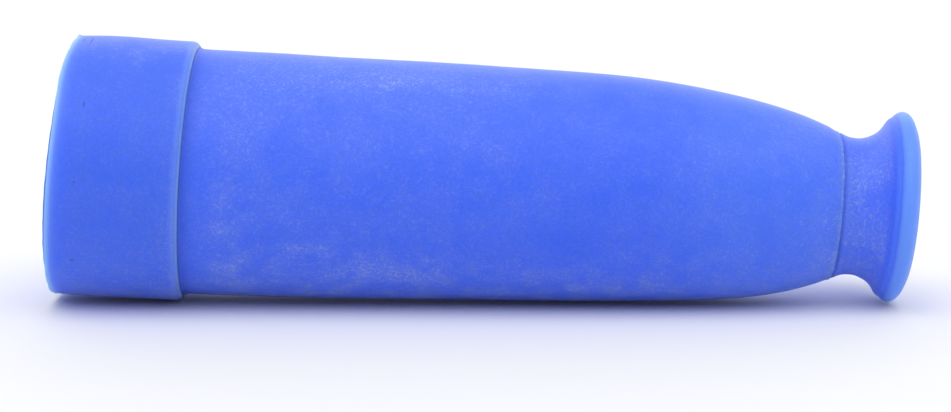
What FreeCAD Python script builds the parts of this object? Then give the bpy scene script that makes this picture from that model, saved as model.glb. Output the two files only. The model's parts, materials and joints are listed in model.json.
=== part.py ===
"""Pipette filler bulb in silicone rubber, lying on its side.

Three pieces share one axis: a hollow squeeze body, a collar cap over its wide end and a flared mouthpiece
plugged into its nose. Each is drawn with its axis along +X, then the whole row is laid on z = 0 so that it
rests on the collar's edge and on the belly of the body. Millimetres, +Z up.
"""

import FreeCAD, Part
import math
import os

# Stations along the axis, from the flat end of the cap (0) to the lip of the mouth
CAP_FLOOR = 2.8        # thickness of the cap's flat end
COLLAR_LENGTH = 15.5   # open edge of the collar
BELLY = 64.0           # fullest part of the free underside
LAND_START = 87.1      # inner end of the hole in the nose
NOSE_END = 94.0        # front face of the nose, the seam seen round the neck
OVERALL_LENGTH = 102.8

# Collar cap
COLLAR_RIM_R = 15.77
COLLAR_CROWN_R = 15.97
COLLAR_CROWN = 4.8
COLLAR_EDGE_R = 15.84
COLLAR_EDGE_ROUND = 0.55
COLLAR_RIM_ROUND = 0.15
PLUG_R = 12.24
PLUG_WALL = 2.4
PLUG_DEPTH = 3.4

# Squeeze body
ROOT_OF_BODY_R = 15.02 # outside of the body where the cap's skirt grips it
BELLY_R = 13.97
CHAMBER_R = 12.28      # chamber at the open, wide end
STRAIGHT_CHAMBER = 10.0
NOSE_R = 9.1
SEAT_R = 7.04          # hole in the nose that holds the spigot
BODY_OUTLINE = [(28.0, 14.84), (42.0, 14.56), (54.0, 14.28), (BELLY, BELLY_R), (72.0, 13.52), (79.0, 12.84),
                (85.0, 11.88), (90.0, 10.6)]
CHAMBER_OUTLINE = [(28.0, 12.17), (42.0, 11.9), (54.0, 11.6), (BELLY, 11.26), (72.0, 10.75), (79.0, 9.85)]

# Mouthpiece
SPIGOT_R = 7.0
SPIGOT_TIP = 87.4
PIPETTE_R = 3.5        # straight seat for the top of a pipette
SEAT_END = 95.4
NECK_R = 8.95
WAIST, WAIST_R = 96.25, 8.33
FLARE_OUTLINE = [(98.0, 8.74), (98.8, 9.2), (99.4, 9.8), (99.9, 10.5)]
LIP_BACK, LIP_BACK_R = 100.5, 10.98
LIP, LIP_R = 101.4, 11.54
LIP_FRONT_R = 10.1
MOUTH_OUTLINE = [(102.4, 9.4), (101.0, 8.3), (98.6, 5.95), (96.6, 4.3)]

GAP = 0.05             # faces that butt stand this far apart
FIT = 0.04             # radial clearance of a plain fit
SEAM_ROUND = 0.3       # softened edges either side of the seam


def point(station, radius):
    return FreeCAD.Vector(station, 0, radius)


def line(start, end):
    return Part.LineSegment(point(*start), point(*end)).toShape()


def curve(stations):
    spline = Part.BSplineCurve()
    spline.interpolate([point(*s) for s in stations])
    return spline.toShape()


def turned(edges):
    """Solid turned about the axis from a closed outline of edges."""
    wire = Part.Wire(Part.__sortEdges__(edges))
    return Part.Face(wire).revolve(FreeCAD.Vector(0, 0, 0), FreeCAD.Vector(1, 0, 0), 360)


def path(*corners):
    return [line(a, b) for a, b in zip(corners, corners[1:])]


def rounded(solid, size, station, radius):
    """Round the circular edge found at a station and radius."""
    edges = []
    for edge in solid.Edges:
        if not isinstance(edge.Curve, Part.Circle):
            continue
        if abs(edge.Curve.Center.x - station) < 0.01 and abs(edge.Curve.Radius - radius) < 0.01:
            edges.append(edge)
    return solid.makeFillet(size, edges)


def end_cap():
    """Cup that closes the wide end: flat end wall, crowned skirt and a ring that plugs the chamber."""
    edge = COLLAR_LENGTH
    bore = ROOT_OF_BODY_R + FIT
    plug_end = CAP_FLOOR + PLUG_DEPTH
    plug_in = PLUG_R - PLUG_WALL
    outer = curve([(0, COLLAR_RIM_R), (COLLAR_CROWN, COLLAR_CROWN_R), (10.0, 15.9), (edge, COLLAR_EDGE_R)])
    inside = path((edge, COLLAR_EDGE_R), (edge, bore), (CAP_FLOOR, bore), (CAP_FLOOR, PLUG_R), (plug_end, PLUG_R),
                  (plug_end, plug_in), (CAP_FLOOR, plug_in), (CAP_FLOOR, 0), (0, 0), (0, COLLAR_RIM_R))
    cap = turned([outer] + inside)
    cap = rounded(cap, COLLAR_EDGE_ROUND, edge, COLLAR_EDGE_R)
    cap = rounded(cap, COLLAR_RIM_ROUND, 0, COLLAR_RIM_R)
    cap = rounded(cap, 0.5, plug_end, PLUG_R)
    return cap


def squeeze_body():
    """Hollow shell: open wide end, long taper, round shoulder and a thick nose with a straight hole."""
    start = CAP_FLOOR + GAP
    outer = curve([(COLLAR_LENGTH, ROOT_OF_BODY_R)] + BODY_OUTLINE + [(NOSE_END, NOSE_R)])
    chamber = curve([(STRAIGHT_CHAMBER, CHAMBER_R)] + CHAMBER_OUTLINE + [(84.4, 8.35), (LAND_START, SEAT_R)])
    nose = path((NOSE_END, NOSE_R), (NOSE_END, SEAT_R), (LAND_START, SEAT_R))
    wide_end = path((STRAIGHT_CHAMBER, CHAMBER_R), (start, CHAMBER_R), (start, ROOT_OF_BODY_R),
                    (COLLAR_LENGTH, ROOT_OF_BODY_R))
    body = turned([outer, chamber] + nose + wide_end)
    body = rounded(body, SEAM_ROUND, NOSE_END, NOSE_R)
    body = rounded(body, 0.3, NOSE_END, SEAT_R)
    body = rounded(body, 0.4, start, ROOT_OF_BODY_R)
    body = rounded(body, 0.4, start, CHAMBER_R)
    return body


def mouthpiece():
    """Trumpet mouth on a plain spigot, bored through for the pipette and the air."""
    root = NOSE_END + GAP
    back = curve([(root, NECK_R), (95.1, 8.5), (WAIST, WAIST_R)] + FLARE_OUTLINE + [(LIP_BACK, LIP_BACK_R)])
    lip = curve([(LIP_BACK, LIP_BACK_R), (LIP, LIP_R), (OVERALL_LENGTH, LIP_FRONT_R)])
    mouth = curve([(OVERALL_LENGTH, LIP_FRONT_R)] + MOUTH_OUTLINE + [(SEAT_END, PIPETTE_R)])
    inside = path((SEAT_END, PIPETTE_R), (SPIGOT_TIP, PIPETTE_R), (SPIGOT_TIP, SPIGOT_R), (root, SPIGOT_R),
                  (root, NECK_R))
    piece = turned([back, lip, mouth] + inside)
    piece = rounded(piece, SEAM_ROUND, root, NECK_R)
    piece = rounded(piece, 0.6, SPIGOT_TIP, SPIGOT_R)
    piece = rounded(piece, 0.4, SPIGOT_TIP, PIPETTE_R)
    return piece


def laid_down(shapes):
    """Tilt the row until the collar's edge and the belly share a floor, then set that floor at z = 0."""
    tilt = math.degrees(math.atan2(COLLAR_EDGE_R - BELLY_R, BELLY - COLLAR_LENGTH + COLLAR_EDGE_ROUND))
    for shape in shapes.values():
        shape.rotate(FreeCAD.Vector(0, 0, 0), FreeCAD.Vector(0, 1, 0), tilt)
    boxes = [shape.optimalBoundingBox(False) for shape in shapes.values()]
    middle = (min(box.XMin for box in boxes) + max(box.XMax for box in boxes)) / 2
    lowest = min(box.ZMin for box in boxes)
    for shape in shapes.values():
        shape.translate(FreeCAD.Vector(-middle, 0, -lowest))
    return tilt, -middle, -lowest


def main():
    os.makedirs("parts", exist_ok=True)
    shapes = {"squeeze_body": squeeze_body(), "end_cap": end_cap(), "mouthpiece": mouthpiece()}
    tilt, along, height = laid_down(shapes)
    print("tilt", round(tilt, 4), "end of axis at x", round(along, 4), "and height", round(height, 4))
    for name, shape in shapes.items():
        box = shape.optimalBoundingBox(False)
        print(name, shape.isValid(), len(shape.Solids), round(shape.Volume), [round(v, 3) for v in
              (box.XMin, box.XMax, box.YMin, box.YMax, box.ZMin, box.ZMax)])
        shape.exportStep("parts/" + name + ".step")


main()
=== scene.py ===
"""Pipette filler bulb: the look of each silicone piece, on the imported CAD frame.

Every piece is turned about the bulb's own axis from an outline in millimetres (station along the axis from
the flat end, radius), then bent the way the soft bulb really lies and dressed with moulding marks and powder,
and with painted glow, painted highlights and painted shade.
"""
import json
import math

import bmesh
import bpy
import numpy as np
from mathutils import Matrix, Vector, noise


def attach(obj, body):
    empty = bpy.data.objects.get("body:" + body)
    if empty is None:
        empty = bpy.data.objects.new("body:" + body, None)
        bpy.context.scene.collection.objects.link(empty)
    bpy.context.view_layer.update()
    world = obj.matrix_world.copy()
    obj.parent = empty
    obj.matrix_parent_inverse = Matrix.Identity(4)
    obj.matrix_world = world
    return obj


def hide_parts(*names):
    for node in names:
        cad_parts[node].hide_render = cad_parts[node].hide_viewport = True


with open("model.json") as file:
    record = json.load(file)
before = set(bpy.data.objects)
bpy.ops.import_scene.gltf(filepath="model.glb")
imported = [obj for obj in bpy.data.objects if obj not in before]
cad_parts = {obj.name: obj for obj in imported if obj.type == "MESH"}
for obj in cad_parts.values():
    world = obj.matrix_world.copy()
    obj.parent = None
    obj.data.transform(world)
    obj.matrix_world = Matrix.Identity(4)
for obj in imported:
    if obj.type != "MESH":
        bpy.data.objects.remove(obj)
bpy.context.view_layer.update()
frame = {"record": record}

MOUNTS = {m["name"]: m for m in frame["record"]["mounts"]}
START = np.array(MOUNTS["cap_face"]["pos_m"], float) * 1000
AXIS = np.array(MOUNTS["pipette_seat"]["axis"], float)
AXIS /= np.linalg.norm(AXIS)
UP = np.array([-AXIS[2], 0.0, AXIS[0]])
NEAR = np.array([0.0, -1.0, 0.0])
FLATTENED = 0.12       # the soft bulb flattens a little where it lies
START += FLATTENED * UP
TURNS = 320            # points round each ring

# Stations along the axis, the CAD's own except for the lip, which stands slightly further out
CAP_FLOOR = 2.8
PLUG_DEPTH = 3.4       # past the cap's floor
STRAIGHT_CHAMBER = 10
COLLAR_END = 15.5
BELLY = 64.0
LAND_START = 87.1
SPIGOT_TIP = 87.4
NOSE_END = 94.0
SEAT_END = 95.4
MOUTH_END = 102.98

# Radii
ROOT_R = 15.05         # body inside the collar
BORE_R = 15.06         # collar
CHAMBER_R = 12.28      # chamber at the open, wide end
PLUG_R = 12.24         # ring on the cap that plugs the chamber
PLUG_IN_R = 9.84
NOSE_R = 9.07
HOLE_R = 7.04          # hole in the nose
SPIGOT_R = 7.0
PIPETTE_R = 3.5


def smooth(x):
    x = np.clip(x, 0.0, 1.0)
    return x * x * (3 - 2 * x)


def rise(x, start, length):
    """Goes from 0 to 1 over that length."""
    return float(smooth((x - start) / length))


def peak(x, centre, width):
    return math.exp(-((x - centre) / width) ** 2)


# ---------------------------------------------------------------- outlines

def curve(points, step=0.35):
    """Points at a steady step along a natural cubic spline through the given points."""
    p = np.array(points, float)
    d = np.concatenate([[0], np.cumsum(np.hypot(*np.diff(p, axis=0).T))])
    n = len(p)
    h = np.diff(d)
    a = np.eye(n)
    b = np.zeros((n, 2))
    for i in range(1, n - 1):
        a[i, i - 1:i + 2] = h[i - 1], 2 * (h[i - 1] + h[i]), h[i]
        b[i] = 6 * ((p[i + 1] - p[i]) / h[i] - (p[i] - p[i - 1]) / h[i - 1])
    m = np.linalg.solve(a, b)
    t = np.linspace(0, d[-1], max(2, int(d[-1] / step) + 1))
    i = np.clip(np.searchsorted(d, t, "right") - 1, 0, n - 2)
    u, v = (t - d[i])[:, None], (d[i + 1] - t)[:, None]
    hi = h[i][:, None]
    return ((m[i] * v ** 3 + m[i + 1] * u ** 3) / (6 * hi) + (p[i] / hi - m[i] * hi / 6) * v
            + (p[i + 1] / hi - m[i + 1] * hi / 6) * u)


def straight(a, b, step=0.6):
    n = max(2, int(math.dist(a, b) / step) + 1)
    return np.linspace(a, b, n)


def rounded(before, after, size, steps=6):
    """Joins two runs that share a corner with an arc of that radius."""
    corner = before[-1]
    e = before[-1] - before[-2]
    f = after[1] - after[0]
    e, f = e / np.linalg.norm(e), f / np.linalg.norm(f)
    turn = math.acos(float(np.clip(e @ f, -1, 1)))
    cut = size * math.tan(turn / 2)
    head = before[np.linalg.norm(before - corner, axis=1) > cut]
    tail = after[np.linalg.norm(after - corner, axis=1) > cut]
    p, q, w = corner - e * cut, corner + f * cut, math.cos(turn / 2)
    arc = []
    for t in np.linspace(0, 1, steps + 2):
        weights = np.array([(1 - t) ** 2, 2 * w * t * (1 - t), t * t])
        arc.append((weights[0] * p + weights[1] * corner + weights[2] * q) / weights.sum())
    return np.vstack([head, arc, tail])


def chain(runs):
    """One outline from runs given as (points, radius of the corner after it)."""
    out = np.array(runs[0][0], float)
    for (_, size), (points, _) in zip(runs, runs[1:]):
        if size:
            out = rounded(out, np.array(points, float), size)
        else:
            out = np.vstack([out, points[1:]])
    return out


# ---------------------------------------------------------------- the way the soft bulb lies

def sag(s):
    """How far the axis hangs below a straight one: a little behind the collar, more towards the mouth."""
    behind_collar = 0.19 * smooth(s / 16) * (1 - smooth((s - 30) / 22))
    return behind_collar + 0.96 * smooth((s - 66) / 30) - 0.22 * smooth((s - 98) / 5)


def lean(s):
    """Slope of the cross-sections: the wide end leans back because it stands on its lower edge."""
    wide_end = 3.25 - 1.9 * smooth(s / 16) - 1.35 * smooth((s - 15) / 18)
    return np.tan(np.radians(wide_end + 1.6 * smooth((s - 72) / 20) + 0.3 * smooth((s - 96) / 5)))


def lumps(points, size, depth, seed):
    """Soft unevenness of the surface, in millimetres, at points of the row in millimetres."""
    offset = Vector((seed * 7.3, seed * 3.1, seed * 5.7))
    return np.array([depth * noise.noise(Vector(p) / size + offset) for p in points])


def placed(s, r, phi):
    """Row coordinates, in metres, of points at those stations, radii and angles from the top."""
    up, near = r * np.cos(phi), r * np.sin(phi)
    s = s + up * lean(s)
    q = START + s[..., None] * AXIS + (up - sag(s))[..., None] * UP + near[..., None] * NEAR
    return q / 1000


def turned(name, outline, closed, shape, masks):
    """A piece turned from an outline. shape(s, r, phi) gives each ring's offsets along and out from the axis,
    and masks(s, r, phi) how powdery the rubber is there, how much painted glow it gets where light shows
    through the rubber and where an edge catches the light, and how much painted shade, each from 0 to 1."""
    outline = np.array(outline, float)
    if closed and np.linalg.norm(outline[0] - outline[-1]) < 1e-6:
        outline = outline[:-1]
    phi = np.linspace(0, 2 * math.pi, TURNS, endpoint=False)
    verts, rings, painted = [], [], {"powder": [], "painted_glow": [], "shade": []}
    for s, r in outline:
        around = phi if r > 1e-6 else np.zeros(1)
        ds, dr = shape(s, r, around)
        rings.append(list(range(len(verts), len(verts) + len(around))))
        verts.extend(placed(s + ds + 0 * around, r + dr + 0 * around, around))
        for kept, value in zip(painted.values(), masks(s, r, around)):
            kept.extend(value + 0 * around)
    faces = []
    pairs = list(zip(rings, rings[1:]))
    if closed:
        pairs.append((rings[-1], rings[0]))
    for a, b in pairs:
        for i in range(TURNS):
            j = (i + 1) % TURNS
            if len(a) == 1:
                faces.append((a[0], b[j], b[i]))
            elif len(b) == 1:
                faces.append((a[i], a[j], b[0]))
            else:
                faces.append((a[i], a[j], b[j], b[i]))
    mesh = bpy.data.meshes.new(name)
    mesh.from_pydata([tuple(v) for v in verts], [], faces)
    for label, values in painted.items():
        layer = mesh.attributes.new(label, "FLOAT", "POINT")
        layer.data.foreach_set("value", np.clip(values, 0, 1).astype(np.float32))
    mesh.shade_smooth()
    piece = bpy.data.objects.new(name, mesh)
    bpy.context.scene.collection.objects.link(piece)
    return piece


def around_axis(s, r, phi, stretch=1.0):
    """Points of a ring, unrolled about the axis, for noise that runs round it without a seam."""
    return np.stack([s / stretch + 0 * phi, r * np.cos(phi), r * np.sin(phi)], 1)


def uneven(s, r, phi, seed, share):
    """Hand-made waviness of an outside, in millimetres."""
    p = around_axis(s, r, phi)
    return share * (lumps(p, 14.0, 0.09, seed) + lumps(p, 4.0, 0.02, seed + 1) - 0.03)


def patches(s, r, phi, size, seed, stretch=1.0):
    """Cloudy value from 0 to 1."""
    p = around_axis(s, r, phi, stretch)
    value = 0.5
    for i, (finer, depth) in enumerate(((1, 0.9), (3, 0.45), (8, 0.25))):
        value = value + lumps(p, size / finer, depth, seed + i)
    return smooth(value)


def bump_at(phi, centre, width):
    """Soft peak round one angle from the top."""
    away = (phi - centre + math.pi) % (2 * math.pi) - math.pi
    return np.exp(-(away / width) ** 2)


def seam_shift(r, phi):
    """How far the seam round the nose sits back from its station, a little more on top."""
    return (0.14 + 0.2 * bump_at(phi, 0.0, 0.4)) * rise(r, HOLE_R, 0.5)


def made_outward(piece):
    """Faces turned so that their normals point out of the rubber."""
    bm = bmesh.new()
    bm.from_mesh(piece.data)
    bmesh.ops.recalc_face_normals(bm, faces=bm.faces)
    bm.to_mesh(piece.data)
    bm.free()


# ---------------------------------------------------------------- pieces

def squeeze_body():
    start = CAP_FLOOR + 0.05
    outer = curve([(COLLAR_END + 0.7, 14.99), (28, 14.84), (42, 14.56), (54, 14.28), (BELLY, 13.97),
                   (72, 13.52), (79, 12.84), (85, 11.88), (90, 10.6), (NOSE_END, NOSE_R)])
    chamber = curve([(STRAIGHT_CHAMBER, CHAMBER_R), (28, 12.17), (42, 11.9), (54, 11.6), (BELLY, 11.26),
                     (72, 10.75), (79, 9.85), (84.4, 8.35), (LAND_START, HOLE_R)], 0.8)
    bead = curve([(COLLAR_END + 0.08, ROOT_R), (COLLAR_END + 0.13, 15.15), (COLLAR_END + 0.35, 15.06),
                  (COLLAR_END + 0.7, 14.99)], 0.08)
    fin = [(NOSE_END, NOSE_R), (NOSE_END + 0.07, 9.08), (NOSE_END + 0.13, 9.05), (NOSE_END + 0.12, 8.99),
           (NOSE_END + 0.02, 8.94), (NOSE_END, 8.9)]
    outline = chain([
        (straight((start, CHAMBER_R), (start, ROOT_R)), 0.4),
        (straight((start, ROOT_R), bead[0]), 0),
        (bead, 0),
        (outer, 0),
        (np.array(fin), 0),
        (straight(fin[-1], (NOSE_END, HOLE_R), 0.2), 0.3),
        (straight((NOSE_END, HOLE_R), (LAND_START, HOLE_R)), 0),
        (chamber[::-1], 0),
        (straight((STRAIGHT_CHAMBER, CHAMBER_R), (start, CHAMBER_R)), 0),
    ])
    face_r = 8.7           # inside this radius lie the nose's end face and the hollow
    fin_r = 8.96

    def shape(s, r, phi):
        if s < COLLAR_END + 0.3 or (r < face_r and s < NOSE_END - 2):
            return 0, 0
        back = seam_shift(r, phi) * rise(s, NOSE_END - 1.5, 1.5)
        if r < face_r:
            return -back, 0
        fade = rise(s, COLLAR_END, 2) * (1 - rise(s, NOSE_END - 2, 2))
        flash = rise(s, NOSE_END - 0.3, 0.3) * float(r > fin_r)
        ragged = lumps(around_axis(s, r, phi), 1.1, 1.0, 41)
        nodule = 0.12 * bump_at(phi, 2.42, 0.035)
        along = flash * (0.05 * ragged + nodule) - back
        return along, uneven(s, r, phi, 3, fade) + flash * (0.03 + 0.04 * ragged + nodule)

    def masks(s, r, phi):
        if r < face_r + 0.1:
            return 0.1, 0.0, 0.0
        high = np.cos(phi)
        cloud = patches(s, r, phi, 7, 51)
        mottle = patches(s, r, phi, 2.4, 57)
        streak = patches(s, r, phi, 3.2, 61, 6)
        haze = (0.15 - 0.08 * rise(s, 35, 35)) * (1 + cloud) + 0.14 * mottle
        band = 0.3 * peak(s, COLLAR_END + 6, 2.1) * (0.4 + 0.6 * smooth(0.5 - high)) * (0.3 + 0.7 * mottle)
        under = 0.5 * smooth((-high - 0.2) / 0.7) * (0.3 + 0.7 * mottle) * (1 - 0.35 * rise(s, 70, 15))
        crown = 0.45 * smooth((high - 0.66) / 0.22) * (0.25 + 0.75 * streak)
        crown = crown * rise(s, 17, 14) * (1 - rise(s, 44, 20))
        dabs = sum(depth * bump_at(phi, angle, wide / r) * peak(s, station, long)
                   for station, angle, long, wide, depth in DABS) * (0.35 + 0.65 * mottle)
        by_seam = 0.3 * math.exp((s - NOSE_END) / 8) * (0.4 + 0.6 * cloud) + 0.4 * peak(s, NOSE_END, 0.35)
        # Painted shade on the body next to the collar's step, where the step shades it; there is less powder
        # there too
        by_step = peak(s, COLLAR_END, 1.3)
        powder = (haze + band + under + crown + dabs + by_seam) * (1 - 0.8 * by_step)
        # second value: a faint painted glow towards the nose; third: the painted shade by the step
        return powder, 0.1 * rise(s, 70, 12), 0.38 * by_step

    return turned("body_skin", outline, True, shape, masks)


# Dabs of heavier powder on the body, and one cleaner patch: station, angle from the top, half-length,
# half-width, depth
DABS = (
    (21.5, 1.9, 1.8, 3.0, 0.3),
    (31.5, 2.03, 4.5, 0.6, 0.3),
    (38.5, 2.25, 4.0, 1.6, 0.5),
    (42.0, 0.58, 8.0, 1.0, 0.3),
    (56.0, 0.48, 8.0, 1.3, 0.2),
    (60.0, 1.95, 5.0, 3.5, -0.25),
    (65.0, 2.45, 3.2, 1.5, 0.65),
    (84.5, 0.55, 1.0, 1.0, 0.3),
)


def end_cap():
    edge = COLLAR_END
    tip = edge + 0.08
    rim_r = 15.77
    plug_end = CAP_FLOOR + PLUG_DEPTH
    outer = curve([(0, rim_r), (4.8, 15.97), (10, 15.9), (edge - 0.85, 15.85)], 0.3)
    corner = curve([(edge - 0.85, 15.85), (edge - 0.5, 15.78), (edge - 0.2, 15.6), (edge, 15.33),
                    (tip, BORE_R)], 0.1)
    fin = [(0, 15.42), (-0.02, 15.54), (-0.06, 15.64), (-0.05, 15.72), (0.03, rim_r)]
    outline = chain([
        (straight((0, 0), fin[0]), 0),
        (np.array(fin), 0),
        (outer[outer[:, 0] > 0.05], 0),
        (corner, 0),
        (straight((tip, BORE_R), (CAP_FLOOR, BORE_R)), 0),
        (straight((CAP_FLOOR, BORE_R), (CAP_FLOOR, PLUG_R)), 0),
        (straight((CAP_FLOOR, PLUG_R), (plug_end, PLUG_R)), 0.5),
        (straight((plug_end, PLUG_R), (plug_end, PLUG_IN_R)), 0.4),
        (straight((plug_end, PLUG_IN_R), (CAP_FLOOR, PLUG_IN_R)), 0),
        (straight((CAP_FLOOR, PLUG_IN_R), (CAP_FLOOR, 0)), 0),
    ])

    skin_r = 15.37         # inside this radius lie the flat end and the hollow

    def shape(s, r, phi):
        if r < skin_r:
            return 0, 0
        fade = rise(s, 0.3, 2) * (1 - rise(s, tip - 0.8, 0.8))
        rim = 1 - rise(s, 0, 0.5)
        ragged = lumps(around_axis(s, r, phi), 1.6, 1.0, 71)
        along = 0.24 + 0.17 * bump_at(phi, 0.0, 0.32) - 0.17 * bump_at(phi, 0.66, 0.25)
        along = along * (1 - rise(s, 0, 4))
        if s < 0:
            along = along - (0.04 + 0.14 * bump_at(phi, 1.7, 0.5) + 0.06 * ragged)
        spikes = bump_at(phi, -0.04, 0.03) + 0.8 * bump_at(phi, 3.02, 0.04)
        return along, uneven(s, r, phi, 11, 0.6 * fade) + rim * (0.03 * ragged + 0.2 * spikes)

    def masks(s, r, phi):
        if r < 15.0:
            return 0.1, 0.0, 0.0
        high = np.cos(phi)
        cloud = patches(s, r, phi, 6, 81)
        mottle = patches(s, r, phi, 2.2, 87)
        haze = 0.08 + 0.06 * cloud + 0.08 * mottle
        under = 0.45 * smooth((-high - 0.3) / 0.6) * (0.4 + 0.6 * cloud)
        by_corner = 0.2 * rise(s, edge - 3.5, 3) * (0.3 + 0.7 * cloud)
        crown = 0.4 * smooth((high - 0.8) / 0.15) * cloud
        clean = 1 - 0.9 * peak(s, 0, 1.5)
        # Painted glow where light shows through the rim of the flat end, and a painted highlight along the
        # collar's rounded edge and into the crevice at its step
        glow = 0.9 * math.exp(-abs(s) / 0.35) + 0.17 * peak(s, 0, 1.2)
        painted_glow = glow * float(r > 15.3) + 0.2 * rise(s, edge - 1.1, 0.7) + 0.4 * rise(s, edge - 0.2, 0.2)
        # Painted shade on the flash fin round the flat end, the side turned away from the light; the painted
        # glow is kept off it
        fin_shade = (0.9 if s < 0 else 0.0) * smooth((bump_at(phi, 1.6, 0.75) - 0.3) / 0.4)
        return (haze + under + by_corner + crown) * clean, painted_glow * (1 - fin_shade), fin_shade

    return turned("cap_skin", outline, False, shape, masks)


def mouthpiece():
    root = NOSE_END + 0.04
    root_r = 8.86
    back = curve([(root, root_r), (94.35, 8.9), (94.7, 8.8), (95.15, 8.56), (96.25, 8.36), (97.1, 8.42),
                  (98.0, 8.74), (98.8, 9.2), (99.4, 9.8), (99.9, 10.56)], 0.2)
    flare = curve([(99.9, 10.56), (100.15, 10.84), (100.5, 11.02)], 0.1)
    lip = curve([(100.5, 11.02), (100.85, 11.36), (101.35, 11.6), (101.85, 11.54), (102.35, 11.18),
                 (102.7, 10.6), (MOUTH_END, 9.95)], 0.12)
    mouth = curve([(MOUTH_END, 9.95), (102.4, 9.3), (100.9, 8.2), (98.6, 5.9), (96.6, 4.3),
                   (SEAT_END, PIPETTE_R)], 0.25)
    outline = chain([
        (straight((SPIGOT_TIP, PIPETTE_R), (SPIGOT_TIP, SPIGOT_R)), 0.6),
        (straight((SPIGOT_TIP, SPIGOT_R), (root, SPIGOT_R)), 0),
        (straight((root, SPIGOT_R), (root, root_r), 0.2), 0.05),
        (back, 0.12),
        (flare, 0.08),
        (lip, 0),
        (mouth, 0),
        (straight((SEAT_END, PIPETTE_R), (SPIGOT_TIP, PIPETTE_R)), 0.4),
    ])

    def shape(s, r, phi):
        if r < HOLE_R or s < root - 0.1:
            return 0, 0
        back = seam_shift(r, phi) * (1 - rise(s, root, 2))
        return -back, uneven(s, r, phi, 23, 0.5 * rise(s, root, 1.5))

    def masks(s, r, phi):
        outside = float(s > root - 0.1) * float(r > 8.0)
        cloud = patches(s, r, phi, 3.5, 91)
        low = smooth(-np.cos(phi))
        neck = outside * (1 - rise(s, 99.2, 0.8))
        groove = outside * (1 - rise(s, root + 0.3, 0.35))
        # Painted glow where light shows through the lip of the flare
        painted_glow = 0.5 * rise(s, 100.5, 0.4) * float(r > 9) + 0.12 * rise(s, 99.8, 0.3)
        powder = 0.1 + neck * (0.2 + 0.4 * cloud + 0.15 * low) * (1 - 0.6 * groove)
        # third value: painted shade in the seam's groove on the neck, stronger towards the bottom; less
        # powder there too
        return powder, painted_glow, 0.55 * groove * (0.6 + 0.4 * low)

    return turned("mouth_skin", outline, True, shape, masks)


# ---------------------------------------------------------------- materials

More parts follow.
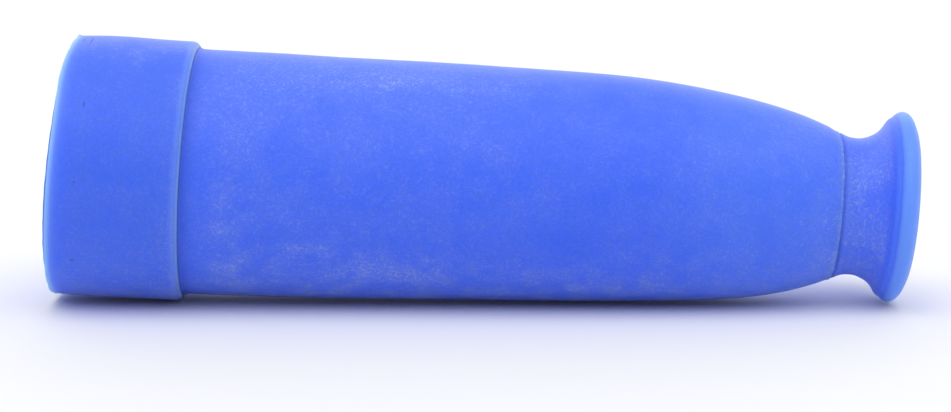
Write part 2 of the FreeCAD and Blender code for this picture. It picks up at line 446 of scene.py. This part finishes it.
def silicone(name, colour, pale, pits):
    """Blue translucent rubber: powder in specks where it has settled, the pale colour painted in as a glow
    where light shows through the rubber and as a highlight on an edge, painted shade darkening it in shaded
    folds and in pits. A pit is (station, radius, angle from the top, half-sizes along X, Y, Z)."""
    m = bpy.data.materials.new(name)
    m.use_nodes = True
    t = m.node_tree
    t.nodes.clear()
    link = t.links.new

    def spread(source, low, high, bottom=0.0, top=1.0):
        n = t.nodes.new("ShaderNodeMapRange")
        n.interpolation_type = "SMOOTHSTEP"
        for key, value in (("From Min", low), ("From Max", high), ("To Min", bottom), ("To Max", top)):
            n.inputs[key].default_value = value
        link(source, n.inputs["Value"])
        return n.outputs["Result"]

    def maths(kind, a, b):
        n = t.nodes.new("ShaderNodeMath")
        n.operation = kind
        for i, x in enumerate((a, b)):
            if isinstance(x, (int, float)):
                n.inputs[i].default_value = x
            else:
                link(x, n.inputs[i])
        return n.outputs[0]

    def mixed(share, a, b):
        n = t.nodes.new("ShaderNodeMix")
        n.data_type = "RGBA"
        link(share, n.inputs["Factor"])
        for key, x in (("A", a), ("B", b)):
            socket = [s for s in n.inputs if s.name == key and s.type == "RGBA"][0]
            if isinstance(x, tuple):
                socket.default_value = (*x, 1)
            else:
                link(x, socket)
        return [s for s in n.outputs if s.type == "RGBA"][0]

    def painted(label):
        n = t.nodes.new("ShaderNodeAttribute")
        n.attribute_name = label
        return n.outputs["Fac"]

    place = t.nodes.new("ShaderNodeTexCoord")

    def cloud(scale, detail, rough):
        n = t.nodes.new("ShaderNodeTexNoise")
        for key, value in (("Scale", scale), ("Detail", detail), ("Roughness", rough)):
            n.inputs[key].default_value = value
        link(place.outputs["Object"], n.inputs["Vector"])
        return n.outputs["Fac"]

    def within(station, radius, angle, size):
        """Painted shade inside one pit, fading to nothing at its edge."""
        away = t.nodes.new("ShaderNodeVectorMath")
        away.operation = "SUBTRACT"
        link(place.outputs["Object"], away.inputs[0])
        away.inputs[1].default_value = tuple(placed(station, radius, np.array(angle)))
        scaled = t.nodes.new("ShaderNodeVectorMath")
        scaled.operation = "DIVIDE"
        link(away.outputs["Vector"], scaled.inputs[0])
        scaled.inputs[1].default_value = tuple(x / 1000 for x in size)
        length = t.nodes.new("ShaderNodeVectorMath")
        length.operation = "LENGTH"
        link(scaled.outputs["Vector"], length.inputs[0])
        return spread(length.outputs["Value"], 0.3, 1.0, 0.6, 0.0)

    powder = painted("powder")
    painted_glow = painted("painted_glow")
    specks = spread(cloud(5000, 1, 0.5), 0.5, 0.78)
    flecks = spread(cloud(1900, 2, 0.6), 0.5, 0.74)
    grain = cloud(3800, 2, 0.6)
    speckled = maths("ADD", maths("MULTIPLY", specks, 0.5), maths("MULTIPLY", flecks, 0.42))
    dusty = maths("ADD", maths("MULTIPLY", powder, speckled), maths("MULTIPLY", powder, 0.28))
    dusty = maths("MINIMUM", dusty, 0.9)
    dark, light = tuple(c * 0.93 for c in colour), tuple(c * 1.06 for c in colour)
    rubber = mixed(spread(grain, 0.3, 0.7), dark, light)
    # the pale colour as a painted glow and painted highlight
    rubber = mixed(painted_glow, rubber, pale)
    shade = painted("shade")
    for pit in pits:
        shade = maths("MAXIMUM", shade, within(*pit))
    shader = t.nodes.new("ShaderNodeBsdfPrincipled")
    for key, value in (("IOR", 1.42), ("Subsurface Weight", 0.5), ("Subsurface Radius", (0.3, 0.6, 1.5)),
                       ("Subsurface Scale", 0.0014), ("Sheen Weight", 0.1), ("Sheen Roughness", 0.4)):
        shader.inputs[key].default_value = value
    bump = t.nodes.new("ShaderNodeBump")
    bump.inputs["Strength"].default_value = 0.35
    bump.inputs["Distance"].default_value = 0.00004
    link(maths("ADD", grain, maths("MULTIPLY", specks, powder)), bump.inputs["Height"])
    link(mixed(shade, mixed(dusty, rubber, POWDER), SHADE_BLUE), shader.inputs["Base Color"])
    link(spread(dusty, 0.0, 0.6, 0.55, 0.8), shader.inputs["Roughness"])
    link(bump.outputs["Normal"], shader.inputs["Normal"])
    out = t.nodes.new("ShaderNodeOutputMaterial")
    link(shader.outputs["BSDF"], out.inputs["Surface"])
    return m


BODY_BLUE = (0.039, 0.138, 0.92)
CAP_BLUE = (0.038, 0.134, 0.94)
MOUTH_BLUE = (0.04, 0.138, 0.92)
# Colours of the painted glow where light shows through the rubber: body and mouthpiece, and the cap's rim and
# edge
GLOW_BLUE = (0.17, 0.39, 0.95)
RIM_GLOW_BLUE = (0.3, 0.53, 0.98)
POWDER = (0.33, 0.42, 0.74)
# Colour that the painted shade darkens the rubber towards
SHADE_BLUE = (0.012, 0.045, 0.42)
# Pits and a scratch on the collar, shown only as painted shade
PITS = (
    (2.5, 15.9, 0.17, (0.16, 2.6, 0.9)),
    (1.5, 15.85, 0.15, (0.2, 0.9, 0.5)),
    (3.6, 15.95, 0.95, (0.15, 0.6, 0.6)),
    (3.5, 15.95, 1.54, (0.18, 0.4, 0.18)),
    (3.45, 15.95, 2.2, (0.42, 0.5, 0.2)),
)

for build, body, node_name, slot_name, colour, pale, pits in (
        (squeeze_body, "body", "squeeze_body", "silicone_body", BODY_BLUE, GLOW_BLUE, ()),
        (end_cap, "cap", "end_cap", "silicone_cap", CAP_BLUE, RIM_GLOW_BLUE, PITS),
        (mouthpiece, "mouth", "mouthpiece", "silicone_mouth", MOUTH_BLUE, GLOW_BLUE, ())):
    piece = build()
    made_outward(piece)
    piece.data.materials.append(silicone(slot_name, colour, pale, pits))
    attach(piece, body)
    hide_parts(node_name)


# ---------------------------------------------------------------- floor, light and camera

FLOOR_HALF = 4         # metres
PAPER = (0.83, 0.835, 0.853, 1)

floor_mesh = bpy.data.meshes.new("floor")
corners = [(x * FLOOR_HALF, y * FLOOR_HALF, 0) for x, y in ((-1, -1), (1, -1), (1, 1), (-1, 1))]
floor_mesh.from_pydata(corners, [], [(0, 1, 2, 3)])
floor = bpy.data.objects.new("floor", floor_mesh)
bpy.context.scene.collection.objects.link(floor)
paper = bpy.data.materials.new("paper")
paper.use_nodes = True
surface = paper.node_tree.nodes["Principled BSDF"]
surface.inputs["Base Color"].default_value = PAPER
surface.inputs["Roughness"].default_value = 0.9
surface.inputs["Specular IOR Level"].default_value = 0.1
floor_mesh.materials.append(paper)

# Soft lights of the tent: direction, cosine where each starts, cosine where it is full, strength, and whether
# the opposite direction has one too
LOBES = (
    ((0, -0.47, 0.883), 0.78, 0.9, 1.7, False),
    ((0, 0.1, 0.995), 0.3, 0.8, 0.75, False),
    ((0, 1, 0), 0.55, 0.95, 1.9, False),
    ((1, 0, 0), 0.45, 0.95, 0.45, True),
)
FILL_COSINE = 0.5      # directions further off count as this one, so the top light is a weak fill all round


def tent():
    """Soft light from all round: brightest from above the viewer and off the wall behind, dim from low in
    front."""
    world = bpy.data.worlds.new("tent")
    bpy.context.scene.world = world
    world.use_nodes = True
    t = world.node_tree
    towards = t.nodes.new("ShaderNodeTexCoord").outputs["Generated"]

    def lobe(axis, start, end, strength, both_ways):
        dot = t.nodes.new("ShaderNodeVectorMath")
        dot.operation = "DOT_PRODUCT"
        dot.inputs[1].default_value = axis
        t.links.new(towards, dot.inputs[0])
        n = t.nodes.new("ShaderNodeMapRange")
        for key, value in (("From Min", start), ("From Max", end), ("To Min", 0.0), ("To Max", strength)):
            n.inputs[key].default_value = value
        size = t.nodes.new("ShaderNodeMath")
        size.operation = "ABSOLUTE" if both_ways else "MAXIMUM"
        size.inputs[1].default_value = FILL_COSINE
        t.links.new(dot.outputs["Value"], size.inputs[0])
        t.links.new(size.outputs[0], n.inputs["Value"])
        return n.outputs["Result"]

    total, *others = [lobe(*row) for row in LOBES]
    for part in others:
        add = t.nodes.new("ShaderNodeMath")
        add.operation = "ADD"
        t.links.new(total, add.inputs[0])
        t.links.new(part, add.inputs[1])
        total = add.outputs[0]
    t.links.new(total, t.nodes["Background"].inputs["Strength"])
    t.nodes["Background"].inputs["Color"].default_value = (1, 1, 1, 1)


tent()

VIEW = dict(azimuth=-0.51, elevation=9.5, roll=0.26, distance=0.3317, target=(-0.00107, 0, 0.01164),
            lens_mm=102.5678, sensor_mm=36)


def camera():
    a, e, r = (math.radians(VIEW[k]) for k in ("azimuth", "elevation", "roll"))
    look = Vector((math.sin(a) * math.cos(e), math.cos(a) * math.cos(e), -math.sin(e)))
    right = Vector((math.cos(a), -math.sin(a), 0))
    up = right.cross(look)
    data = bpy.data.cameras.new("camera")
    data.sensor_width = VIEW["sensor_mm"]
    data.lens = VIEW["lens_mm"]
    data.clip_start, data.clip_end = 0.01, 20
    cam = bpy.data.objects.new("camera", data)
    basis = Matrix((right, up, -look)).transposed()
    turn = (basis @ Matrix.Rotation(r, 3, "Z")).to_4x4()
    cam.matrix_world = Matrix.Translation(Vector(VIEW["target"]) - look * VIEW["distance"]) @ turn
    bpy.context.scene.collection.objects.link(cam)
    bpy.context.scene.camera = cam


camera()
bpy.context.scene.view_settings.view_transform = "Standard"
